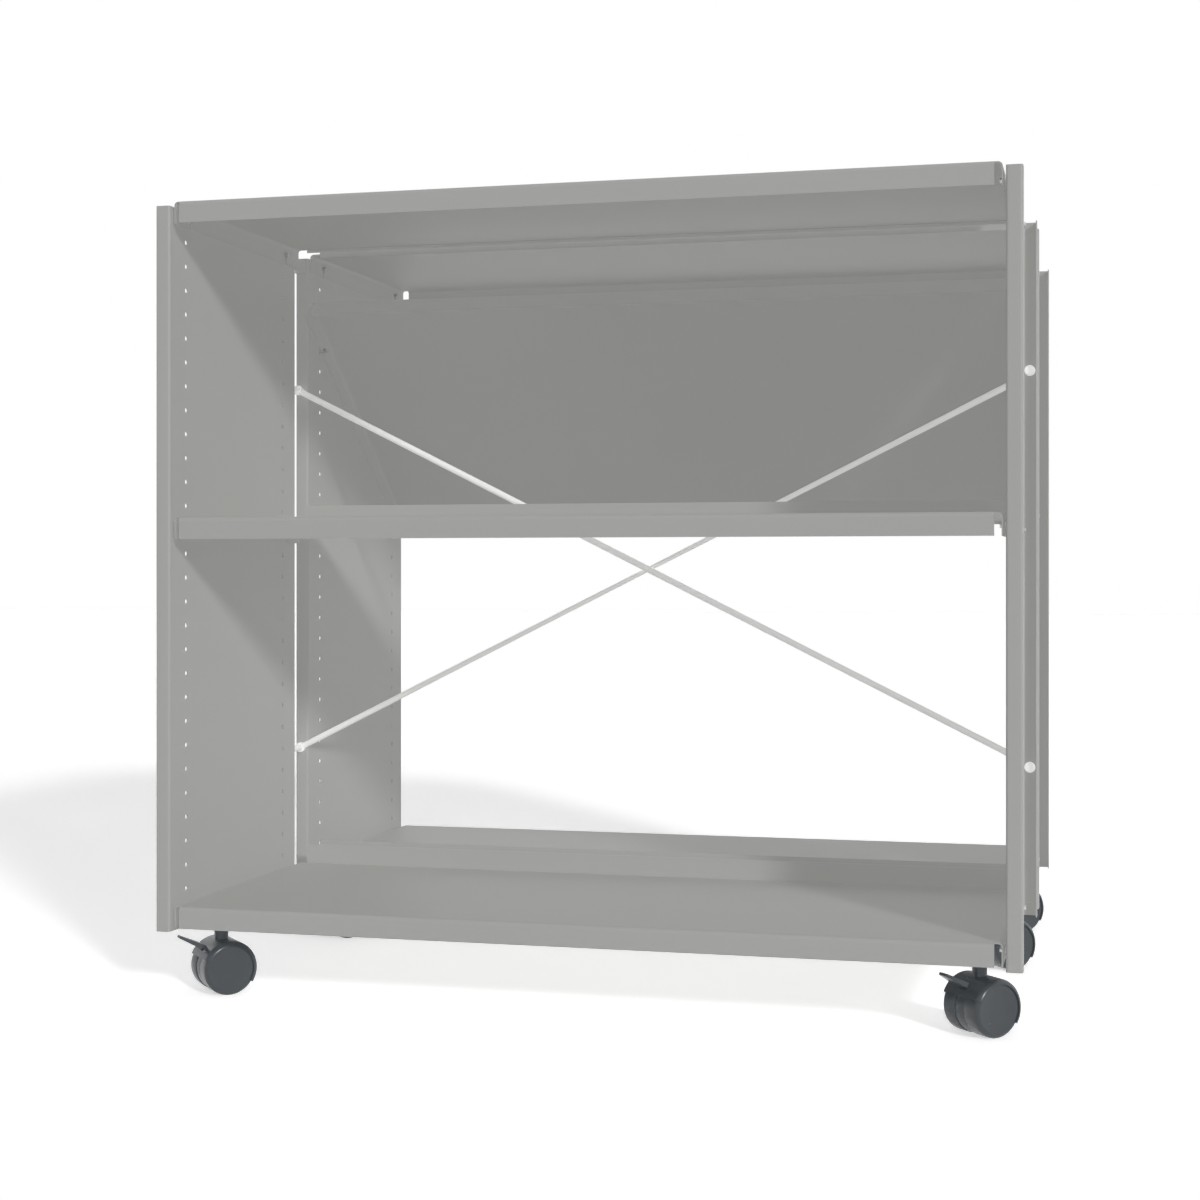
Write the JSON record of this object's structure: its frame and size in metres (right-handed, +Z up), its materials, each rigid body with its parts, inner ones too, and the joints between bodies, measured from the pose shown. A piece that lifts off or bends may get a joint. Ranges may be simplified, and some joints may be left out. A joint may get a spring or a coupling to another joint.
{
  "type": "mobile double-sided bookcase",
  "caption": "Low double-sided steel bookcase on castors: level shelves on pegs in front, a sloping display shelf and a base shelf behind, cross brace between the bays.",
  "frame": {"origin": "on the floor, under the centre of the footprint", "axes": "+X to the right of someone facing the front bay, +Y from the front bay to the back bay, +Z up"},
  "size_m": [1, 0.741, 0.962],
  "materials": {
    "painted_steel": "satin light grey",
    "light_steel": "satin off-white",
    "zinc_steel": "zinc plated",
    "castor_plastic": "gloss dark grey"
  },
  "bodies": {
    "bookcase": {"front_right_upright": "painted_steel", "front_left_upright": "painted_steel", "back_right_upright": "painted_steel", "back_left_upright": "painted_steel", "front_top_shelf": "painted_steel", "front_middle_shelf": "painted_steel", "front_bottom_shelf": "painted_steel", "back_top_shelf": "painted_steel", "back_bottom_shelf": "painted_steel", "display_shelf": "painted_steel", "front_shelf_pegs": "zinc_steel", "back_shelf_pegs": "zinc_steel", "front_brace_rod": "light_steel", "rear_brace_rod": "light_steel", "brace_sleeves": "light_steel", "brace_bolts": "light_steel", "brace_nuts": "zinc_steel", "spacer_clips": "painted_steel", "clip_rivets": "painted_steel", "castor_mounts": "zinc_steel", "castor_stems": "zinc_steel"},
    "front_left_castor": {"front_left_castor_housing": "castor_plastic", "front_left_castor_axle": "zinc_steel", "front_left_castor_brake_pin": "zinc_steel"},
    "front_left_castor_left_wheel": {"front_left_castor_left_wheel": "castor_plastic"},
    "front_left_castor_right_wheel": {"front_left_castor_right_wheel": "castor_plastic"},
    "front_left_castor_brake_pedal": {"front_left_castor_brake_pedal": "castor_plastic"},
    "front_right_castor": {"front_right_castor_housing": "castor_plastic", "front_right_castor_axle": "zinc_steel", "front_right_castor_brake_pin": "zinc_steel"},
    "front_right_castor_left_wheel": {"front_right_castor_left_wheel": "castor_plastic"},
    "front_right_castor_right_wheel": {"front_right_castor_right_wheel": "castor_plastic"},
    "front_right_castor_brake_pedal": {"front_right_castor_brake_pedal": "castor_plastic"},
    "middle_left_castor": {"middle_left_castor_housing": "castor_plastic", "middle_left_castor_axle": "zinc_steel"},
    "middle_left_castor_left_wheel": {"middle_left_castor_left_wheel": "castor_plastic"},
    "middle_left_castor_right_wheel": {"middle_left_castor_right_wheel": "castor_plastic"},
    "middle_right_castor": {"middle_right_castor_housing": "castor_plastic", "middle_right_castor_axle": "zinc_steel"},
    "middle_right_castor_left_wheel": {"middle_right_castor_left_wheel": "castor_plastic"},
    "middle_right_castor_right_wheel": {"middle_right_castor_right_wheel": "castor_plastic"},
    "back_left_castor": {"back_left_castor_housing": "castor_plastic", "back_left_castor_axle": "zinc_steel", "back_left_castor_brake_pin": "zinc_steel"},
    "back_left_castor_left_wheel": {"back_left_castor_left_wheel": "castor_plastic"},
    "back_left_castor_right_wheel": {"back_left_castor_right_wheel": "castor_plastic"},
    "back_left_castor_brake_pedal": {"back_left_castor_brake_pedal": "castor_plastic"},
    "back_right_castor": {"back_right_castor_housing": "castor_plastic", "back_right_castor_axle": "zinc_steel", "back_right_castor_brake_pin": "zinc_steel"},
    "back_right_castor_left_wheel": {"back_right_castor_left_wheel": "castor_plastic"},
    "back_right_castor_right_wheel": {"back_right_castor_right_wheel": "castor_plastic"},
    "back_right_castor_brake_pedal": {"back_right_castor_brake_pedal": "castor_plastic"}
  },
  "joints": [
    {"name": "front_left_castor_swivel", "type": "hinge", "parent": "bookcase", "child": "front_left_castor", "pos_m": [-0.45, -0.3025, 0], "axis": [0, 0, 1], "continuous": true},
    {"name": "front_left_castor_left_wheel_roll", "type": "hinge", "parent": "front_left_castor", "child": "front_left_castor_left_wheel", "pos_m": [-0.44859, -0.30109, 0.031], "axis": [0.7071, -0.7071, 0], "continuous": true},
    {"name": "front_left_castor_right_wheel_roll", "type": "hinge", "parent": "front_left_castor", "child": "front_left_castor_right_wheel", "pos_m": [-0.44859, -0.30109, 0.031], "axis": [0.7071, -0.7071, 0], "continuous": true},
    {"name": "front_left_castor_brake", "type": "hinge", "parent": "front_left_castor", "child": "front_left_castor_brake_pedal", "pos_m": [-0.45919, -0.31169, 0.051], "axis": [0.7071, -0.7071, 0], "range_deg": [0, 12]},
    {"name": "front_right_castor_swivel", "type": "hinge", "parent": "bookcase", "child": "front_right_castor", "pos_m": [0.45, -0.3025, 0], "axis": [0, 0, 1], "continuous": true},
    {"name": "front_right_castor_left_wheel_roll", "type": "hinge", "parent": "front_right_castor", "child": "front_right_castor_left_wheel", "pos_m": [0.45141, -0.30109, 0.031], "axis": [0.7071, -0.7071, 0], "continuous": true},
    {"name": "front_right_castor_right_wheel_roll", "type": "hinge", "parent": "front_right_castor", "child": "front_right_castor_right_wheel", "pos_m": [0.45141, -0.30109, 0.031], "axis": [0.7071, -0.7071, 0], "continuous": true},
    {"name": "front_right_castor_brake", "type": "hinge", "parent": "front_right_castor", "child": "front_right_castor_brake_pedal", "pos_m": [0.44081, -0.31169, 0.051], "axis": [0.7071, -0.7071, 0], "range_deg": [0, 12]},
    {"name": "middle_left_castor_swivel", "type": "hinge", "parent": "bookcase", "child": "middle_left_castor", "pos_m": [-0.45, 0.0595, 0], "axis": [0, 0, 1], "continuous": true},
    {"name": "middle_left_castor_left_wheel_roll", "type": "hinge", "parent": "middle_left_castor", "child": "middle_left_castor_left_wheel", "pos_m": [-0.44859, 0.06091, 0.031], "axis": [0.7071, -0.7071, 0], "continuous": true},
    {"name": "middle_left_castor_right_wheel_roll", "type": "hinge", "parent": "middle_left_castor", "child": "middle_left_castor_right_wheel", "pos_m": [-0.44859, 0.06091, 0.031], "axis": [0.7071, -0.7071, 0], "continuous": true},
    {"name": "middle_right_castor_swivel", "type": "hinge", "parent": "bookcase", "child": "middle_right_castor", "pos_m": [0.45, 0.0595, 0], "axis": [0, 0, 1], "continuous": true},
    {"name": "middle_right_castor_left_wheel_roll", "type": "hinge", "parent": "middle_right_castor", "child": "middle_right_castor_left_wheel", "pos_m": [0.45141, 0.06091, 0.031], "axis": [0.7071, -0.7071, 0], "continuous": true},
    {"name": "middle_right_castor_right_wheel_roll", "type": "hinge", "parent": "middle_right_castor", "child": "middle_right_castor_right_wheel", "pos_m": [0.45141, 0.06091, 0.031], "axis": [0.7071, -0.7071, 0], "continuous": true},
    {"name": "back_left_castor_swivel", "type": "hinge", "parent": "bookcase", "child": "back_left_castor", "pos_m": [-0.45, 0.3235, 0], "axis": [0, 0, 1], "continuous": true},
    {"name": "back_left_castor_left_wheel_roll", "type": "hinge", "parent": "back_left_castor", "child": "back_left_castor_left_wheel", "pos_m": [-0.44859, 0.32491, 0.031], "axis": [0.7071, -0.7071, 0], "continuous": true},
    {"name": "back_left_castor_right_wheel_roll", "type": "hinge", "parent": "back_left_castor", "child": "back_left_castor_right_wheel", "pos_m": [-0.44859, 0.32491, 0.031], "axis": [0.7071, -0.7071, 0], "continuous": true},
    {"name": "back_left_castor_brake", "type": "hinge", "parent": "back_left_castor", "child": "back_left_castor_brake_pedal", "pos_m": [-0.45919, 0.31431, 0.051], "axis": [0.7071, -0.7071, 0], "range_deg": [0, 12]},
    {"name": "back_right_castor_swivel", "type": "hinge", "parent": "bookcase", "child": "back_right_castor", "pos_m": [0.45, 0.3235, 0], "axis": [0, 0, 1], "continuous": true},
    {"name": "back_right_castor_left_wheel_roll", "type": "hinge", "parent": "back_right_castor", "child": "back_right_castor_left_wheel", "pos_m": [0.45141, 0.32491, 0.031], "axis": [0.7071, -0.7071, 0], "continuous": true},
    {"name": "back_right_castor_right_wheel_roll", "type": "hinge", "parent": "back_right_castor", "child": "back_right_castor_right_wheel", "pos_m": [0.45141, 0.32491, 0.031], "axis": [0.7071, -0.7071, 0], "continuous": true},
    {"name": "back_right_castor_brake", "type": "hinge", "parent": "back_right_castor", "child": "back_right_castor_brake_pedal", "pos_m": [0.44081, 0.31431, 0.051], "axis": [0.7071, -0.7071, 0], "range_deg": [0, 12]}
  ]
}
